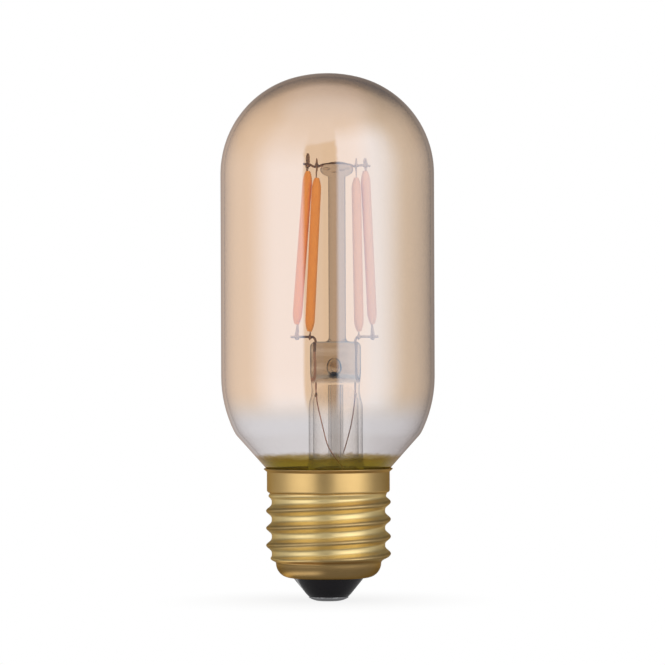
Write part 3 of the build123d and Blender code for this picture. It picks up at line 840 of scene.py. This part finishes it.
def cap_rings(cap):
    """The cap's sheet as loops: up the outside, over the lip and down the plain inside."""
    columns = cap.columns
    low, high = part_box("cap_shell")
    bottom, lip_radius, lip_top = low.z, high.x, high.z
    rings = [ring(bottom, cap.hole, columns)]
    corner_centre = (cap.bowl_radius - cap.bowl_corner, cap.bowl_top)
    for radius, level in arc(corner_centre, cap.bowl_corner, -90, 0, 14):
        rings.append(ring(level, radius, columns))
    rings += thread_rings(cap)
    edge_centre = (cap.collar_radius - cap.collar_edge, cap.collar_foot + cap.collar_edge)
    for radius, level in arc(edge_centre, cap.collar_edge, -90, 0, 8):
        rings.append(ring(level, radius, columns))
    inside = cap.collar_radius - cap.wall
    outline = [
        (cap.collar_radius, cap.collar_top),
        (lip_radius, lip_top - cap.wall / 2),
        (lip_radius - cap.wall / 4, lip_top),
        (lip_radius - 1.2 * cap.wall, lip_top),
        (inside, cap.collar_top),
        (inside, cap.collar_foot + cap.collar_edge),
        (cap.minor / 2 - cap.wall, cap.collar_foot + cap.collar_edge),
        (cap.minor / 2 - cap.wall, cap.bowl_top + cap.run_out),
        (cap.bowl_radius - cap.wall, cap.bowl_top),
        (cap.bowl_radius - cap.bowl_corner, bottom + cap.wall),
        (cap.hole, bottom + cap.wall),
    ]
    return rings + [ring(level, radius, columns) for radius, level in outline]


def filament_line(name):
    """The foot and head of a filament's axis, which leans inwards going up."""
    low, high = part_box(name + "_filament")
    radius = (high.y - low.y) / 2
    y = (low.y + high.y) / 2
    ends = (low.x + radius, high.x - radius)
    foot_x, head_x = ends if name.startswith("left") else reversed(ends)
    return Vector((foot_x, y, low.z)), Vector((head_x, y, high.z))


def tab_rings(look, name, end):
    """A strip along the filament's axis: narrow at the coat, wider and bent at the weld."""
    foot, head = filament_line(name)
    low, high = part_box(f"{name}_{end}_tab")
    slope = (head - foot) / (head.z - foot.z)
    wide = look.wide_tab if "outer" in name else look.narrow_tab
    top = high.z + (look.tab_excess if (name, end) == ("left_outer", "top") else 0.0)
    rings = []
    for level in steps(low.z, top, 14):
        share = (level - low.z) / (top - low.z)
        free = share if end == "top" else 1 - share
        bend = noise.noise(Vector((foot.x / MM, level / MM, 3.0))) * 0.16 * MM * smooth_step(free * 2)
        half = wide * (0.6 + 0.55 * smooth_step(free * 1.6) - 0.5 * smooth_step(free * 5 - 4))
        place = foot + slope * (level - foot.z) + Vector((bend, 0, 0))
        rings.append(oval(place, half, look.tab_flat, 12, 3.0))
    return rings


def weld_blob(mesh, place, radius, seed, stretch):
    """Adds a lump of melted metal at a place, drawn out upwards."""
    made = bmesh.ops.create_icosphere(mesh, subdivisions=3, radius=radius)
    for vert in made["verts"]:
        bulge = noise.noise(vert.co / radius * 1.3 + Vector((seed, 0.0, 0.0)))
        vert.co *= 1.0 + 0.45 * bulge
        vert.co.z *= stretch
        vert.co += Vector(place)


class BULB_OT_glass(bpy.types.Operator):
    """Tints the envelope and makes the stem, the exhaust tube and the rod of clear glass"""

    bl_idname = "bulb.glass"
    bl_label = "Glass"

    def execute(self, context):
        stem = context.scene.bulb_stem
        thin_top = stem.cavity_top + 0.2 * MM
        clear = clear_glass("clear_glass", stem, stem.stem_shade, stem.stem_bend, thin_top)
        pipe = clear_glass("drawn_glass", stem, stem.pipe_shade, stem.pipe_bend)
        cane = clear_glass("cane_glass", stem, stem.cane_shade, stem.cane_bend)
        dress(amber_glass(context.scene.bulb_glass), "glass_envelope")
        mesh = skin("exhaust_tube_drawn", exhaust_rings(stem), capped=True)
        add_piece("exhaust_tube_drawn", mesh, pipe, "clear_glass", "exhaust_tube")
        mesh = skin("stem_glass_pressed", stem_rings(stem), *vent_shells(stem), capped=True)
        add_piece("stem_glass_pressed", mesh, clear, "clear_glass", "stem_glass")
        mesh = skin("support_rod_drawn", rod_rings(stem), *bead_bubbles(stem), capped=True)
        add_piece("support_rod_drawn", mesh, cane, "clear_glass", "support_rod")
        return {"FINISHED"}


class BULB_OT_filaments(bpy.types.Operator):
    """Coats the four filaments and makes their end tabs of thin strip"""

    bl_idname = "bulb.filaments"
    bl_label = "Filaments"

    def execute(self, context):
        look = context.scene.bulb_filaments
        dress(phosphor_coat(look), *(name + "_filament" for name in FILAMENTS))
        wires = context.scene.bulb_wires
        strip = drawn_metal("tab_metal", wires.tab, 0.35, wires.painted_veil)
        for name in FILAMENTS:
            for end in ("top", "bottom"):
                tab = f"{name}_{end}_tab"
                mesh = skin(tab + "_strip", tab_rings(look, name, end), capped=True)
                add_piece(tab + "_strip", mesh, strip, "tab_metal", tab)
        return {"FINISHED"}


class BULB_OT_wires(bpy.types.Operator):
    """Draws the leads and the bridge wire round, and welds the tabs to them"""

    bl_idname = "bulb.wires"
    bl_label = "Wires"

    def execute(self, context):
        look = context.scene.bulb_wires
        nickel = drawn_metal("nickel_wire", look.nickel, 0.3, look.painted_veil)
        copper = drawn_metal("copper_wire", look.copper, 0.3)
        clad = drawn_metal("clad_wire", look.clad, 0.3, look.painted_veil)
        for side, outward in (("left", -1), ("right", 1)):
            self.draw_inner_lead(side, outward, look.bend, nickel)
            self.draw_outer_lead(side, look.slack, copper)
            dress(clad, side + "_seal_wire")
        self.draw_bridge(nickel)
        dress(copper, "contact_wire", "shell_wire")
        self.weld_tabs(look, nickel)
        return {"FINISHED"}

    def draw_inner_lead(self, side, outward, bend, shade):
        """Up out of the press and over in a hook under the filaments."""
        name = side + "_inner_lead"
        low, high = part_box(name)
        thick = high.y - low.y
        upright = (high.x if outward < 0 else low.x) + outward * thick / 2
        end = low.x if outward < 0 else high.x
        level = high.z - thick / 2
        path = [
            (upright, 0, low.z),
            (upright, 0, level - 2.2 * bend),
            (upright, 0, level),
            (upright + outward * 1.4 * bend, 0, level),
            (end, 0, level),
        ]
        add_piece(name + "_round", wire_mesh(name + "_round", path, thick), shade, "nickel_wire", name)

    def draw_outer_lead(self, side, thick, shade):
        """Down the flare in a slack line, the left one in front of the exhaust tube."""
        name = side + "_outer_lead"
        low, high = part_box(name)
        depth = low.y + thick / 2 if side == "left" else high.y - thick / 2
        path = [(x * MM, share * depth, z * MM) for x, share, z in OUTER_LEAD_ROUTES[side]]
        path.append((path[-1][0], depth, low.z))
        add_piece(name + "_slack", wire_mesh(name + "_slack", path, thick), shade, "copper_wire", name)

    def draw_bridge(self, shade):
        """A wire through the bead, pulled out of line where the filaments are welded to it."""
        name = "top_bridge_wire"
        low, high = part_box(name)
        path = [(low.x, 0, BRIDGE_LEFT_LEVEL)]
        path += [(x * MM, 0, z * MM) for x, z in BRIDGE_ROUTE]
        path.append((high.x, 0, BRIDGE_RIGHT_LEVEL))
        mesh = wire_mesh(name + "_bent", path, high.y - low.y)
        add_piece(name + "_bent", mesh, shade, "nickel_wire", name)

    def weld_tabs(self, look, shade):
        """Lumps of metal where tabs meet the leads and the bridge wire, and at the seal wires' feet."""
        blobs = bmesh.new()
        for seed, name in enumerate(FILAMENTS):
            foot, head = filament_line(name)
            slope = (head - foot) / (head.z - foot.z)
            size = look.weld * (1.15 if "outer" in name else 0.9)
            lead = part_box(name.split("_")[0] + "_inner_lead")[1].z - 0.3 * MM
            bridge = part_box("top_bridge_wire")[1].z - 0.5 * MM
            for level in (lead, bridge):
                place = foot + slope * (level - foot.z)
                weld_blob(blobs, place, size, seed=seed + level / MM, stretch=1.25)
        for side in ("left", "right"):
            low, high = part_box(side + "_seal_wire")
            place = ((low.x + high.x) / 2, (low.y + high.y) / 2, look.seal_weld_level)
            weld_blob(blobs, place, look.seal_weld, seed=9, stretch=1.5)
        mesh = bpy.data.meshes.new("tab_welds")
        blobs.to_mesh(mesh)
        blobs.free()
        add_piece("tab_welds", mesh, shade, "tab_metal")


class BULB_OT_cap(bpy.types.Operator):
    """Rolls the brass cap with its smooth thread, and fills it with cement"""

    bl_idname = "bulb.cap"
    bl_label = "Cap"

    def execute(self, context):
        cap = context.scene.bulb_cap
        mesh = skin("cap_shell_rolled", cap_rings(cap), wrap=True)
        add_piece("cap_shell_rolled", mesh, cap_brass(cap), "cap_brass", "cap_shell")
        self.pour_cement(moulded("cement", cap.cement, 0.7), cap.cement_gap)
        dress(moulded("insulator_black", cap.insulator, 0.1, gloss=0.3), "cap_insulator")
        dress(drawn_metal("contact_metal", cap.contact, 0.35), "centre_contact")
        return {"FINISHED"}

    def pour_cement(self, shade, gap):
        """The cement's ring, a hair away from the glass so that the two faces stay apart."""
        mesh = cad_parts["cap_cement"].data.copy()
        mesh.name = "cap_cement_poured"
        mesh.materials.clear()
        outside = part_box("cap_cement")[1].x
        for vert in mesh.vertices:
            radius = math.hypot(vert.co.x, vert.co.y)
            if radius < outside - 0.2 * MM:
                stretch = 1.0 + gap / radius
                vert.co = (vert.co.x * stretch, vert.co.y * stretch, vert.co.z)
        add_piece("cap_cement_poured", mesh, shade, "cement", "cap_cement")


class BULB_OT_driver(bpy.types.Operator):
    """Gives the driver inside the cap its finishes"""

    bl_idname = "bulb.driver"
    bl_label = "Driver"

    def execute(self, context):
        look = context.scene.bulb_driver
        dress(moulded("board", look.board, 0.45), "driver_board")
        dress(moulded("chip_black", look.chip, 0.5), "bridge_rectifier", "control_chip")
        dress(drawn_metal("capacitor_can", look.can, 0.3), "smoothing_capacitor")
        dress(moulded("resistor_body", look.resistor, 0.35), "fuse_resistor")
        return {"FINISHED"}


class BULB_OT_stage(bpy.types.Operator):
    """Sets the camera, the studio's soft panels and the floor"""

    bl_idname = "bulb.stage"
    bl_label = "Stage"

    def execute(self, context):
        stage = context.scene.bulb_stage
        self.set_camera(context, stage)
        self.set_world(context, stage)
        self.set_floor(context, stage)
        context.scene.view_settings.view_transform = "Standard"
        return {"FINISHED"}

    def set_camera(self, context, stage):
        """A camera in front of the bulb that looks along the frame's Y axis."""
        camera = bpy.data.cameras.new("eye")
        camera.lens = camera.sensor_width * stage.eye_distance / stage.field
        camera.clip_start = 10 * MM
        eye = bpy.data.objects.new("eye", camera)
        eye.location = (stage.eye_x, -stage.eye_distance, stage.eye_level)
        eye.rotation_euler = (math.radians(90), stage.eye_roll, 0)
        context.scene.collection.objects.link(eye)
        context.scene.camera = eye

    def set_world(self, context, stage):
        """Two soft panels beside the camera, a dim room between them and white behind the bulb.

        Bearings are in degrees from straight behind the camera, with plus to the right.
        """
        world = bpy.data.worlds.new("studio")
        context.scene.world = world
        finish = Finish(world)
        way = finish.node("TexCoord", output="Generated")
        across, deep, up = (finish.along(axis, way) for axis in "XYZ")
        bearing = across.maths("ARCTAN2", across, -1.0 * deep)

        def edge(value, start, end):
            return finish.between(value, math.radians(start), math.radians(end))

        # The left panel starts faintly beside the camera, and dims towards the back and the top
        left_side = 0.07 * edge(bearing, -3, -6) + 0.93 * edge(bearing, -23, -28)
        left_fall = 1.0 - 0.72 * edge(bearing, -54, -100)
        left = left_side * left_fall * (1.0 - 0.67 * finish.between(up, -0.2, 0.95))
        # The right panel brightens outwards, and then dims the same way
        right_side = edge(bearing, 8, 13.5)
        right_rise = 0.76 + 0.24 * edge(bearing, 15, 60)
        right_fall = 1.0 - 0.88 * edge(bearing, 48, 98) + 0.03 * edge(bearing, 140, 178)
        right = right_side * right_rise * right_fall * (1.0 - 0.71 * finish.between(up, 0.5, 0.92))
        back_high = 0.5 * finish.between(deep, 0.0, 0.5) * finish.between(up, 0.15, 0.4)
        # The ceiling fills the gap between the panels, and all of it turns into one even top
        gap = (1.0 - left_side) * (1.0 - right_side)
        ceiling = finish.between(up - 0.15 * bearing, 0.52, 0.6) * gap
        panels = (left * stage.left_panel + right * stage.right_panel) * (1.0 - back_high)
        sides = stage.room + ceiling * stage.overhead + panels
        top = stage.room + stage.overhead * (1.0 - 0.5 * finish.between(deep, -0.1, 0.35))
        sides = sides + finish.between(up, 0.75, 0.95) * (top - sides)
        # Glass that bends light sees white in front and behind, and the camera sees white all round
        bent = finish.ray("Transmission")
        turned = bearing.maths("ABSOLUTE", bearing)
        back = (edge(turned, 110, 150) + edge(turned, 60, 20)) * bent
        studio = sides + back * (1.0 - sides)
        seen = finish.ray("Camera")
        soft = 1.0 - finish.ray("Glossy") - bent
        strength = seen + (1.0 - seen) * (studio + soft * stage.fill)
        light = finish.node("Background", None, {"Color": (*WHITE, 1.0), "Strength": strength})
        finish.node("OutputWorld", None, {"Surface": light})

    def set_floor(self, context, stage):
        """White for the camera but for a faint shadow. Metal mirrors a darker floor with a painted shadow
        under the bulb and one painted bright spot, which the bowl mirrors as a highlight.
        """
        mesh = skin("floor", [ring(0.0, radius, 96) for radius in (2000 * MM, 200 * MM, 60 * MM, 0.2 * MM)])
        floor = bpy.data.objects.new("floor", mesh)
        context.scene.collection.objects.link(floor)
        finish = material("floor")
        matt = finish.node("BsdfDiffuse", None, {"Color": (0.8, 0.8, 0.8, 1.0)})
        away = finish.vector("LENGTH", finish.place())
        close = finish.between(away, 40 * MM, 8 * MM) * stage.shadow
        around = finish.between(away, 130 * MM, 50 * MM)
        seen = finish.ray("Camera") + finish.ray("Transmission")
        share = seen * close + (1.0 - seen) * around
        top = finish.mix(share, finish.glow(1.0), matt)
        # Seen only by metal: a painted shadow under the bulb
        beneath = finish.between(away, 60 * MM, 30 * MM)
        under = finish.mix(beneath, finish.glow(stage.floor_far), finish.glow(stage.floor_painted_shadow))
        # Seen only by metal: a painted pool of light on the left, which puts a highlight on the bowl's lower
        # edge
        spot = finish.between(away, 18 * MM, 14 * MM) * finish.between(away, 10.5 * MM, 12.5 * MM)
        spot = spot * finish.between(finish.along("X"), -1 * MM, -6 * MM)
        under = finish.mix(spot, under, finish.glow(stage.floor_painted_spot))
        under = finish.mix(around, finish.see_through(WHITE), under)
        mesh.materials.append(finish.surface(finish.mix(finish.ray("Glossy"), top, under)))


class BULB_PT_sidebar(bpy.types.Panel):
    """Lists what the bulb is made of"""

    bl_idname = "BULB_PT_sidebar"
    bl_label = "Filament bulb"
    bl_space_type = "VIEW_3D"
    bl_region_type = "UI"
    bl_category = "Bulb"

    def draw(self, context):
        for operator in OPERATORS:
            self.layout.operator(operator.bl_idname)


SETTINGS = {
    "bulb_glass": BulbGlassSettings,
    "bulb_stem": BulbStemSettings,
    "bulb_wires": BulbWireSettings,
    "bulb_filaments": BulbFilamentSettings,
    "bulb_cap": BulbCapSettings,
    "bulb_driver": BulbDriverSettings,
    "bulb_stage": BulbStageSettings,
}
OPERATORS = (
    BULB_OT_stage,
    BULB_OT_glass,
    BULB_OT_filaments,
    BULB_OT_wires,
    BULB_OT_cap,
    BULB_OT_driver,
)


def register():
    for settings in SETTINGS.values():
        bpy.utils.register_class(settings)
    for name, settings in SETTINGS.items():
        setattr(bpy.types.Scene, name, PointerProperty(type=settings))
    for operator in OPERATORS:
        bpy.utils.register_class(operator)
    bpy.utils.register_class(BULB_PT_sidebar)


def unregister():
    bpy.utils.unregister_class(BULB_PT_sidebar)
    for operator in reversed(OPERATORS):
        bpy.utils.unregister_class(operator)
    for name in SETTINGS:
        delattr(bpy.types.Scene, name)
    for settings in reversed(list(SETTINGS.values())):
        bpy.utils.unregister_class(settings)


def main():
    register()
    bpy.ops.bulb.stage()
    bpy.ops.bulb.glass()
    bpy.ops.bulb.filaments()
    bpy.ops.bulb.wires()
    bpy.ops.bulb.cap()
    bpy.ops.bulb.driver()


if __name__ == "__main__":
    main()
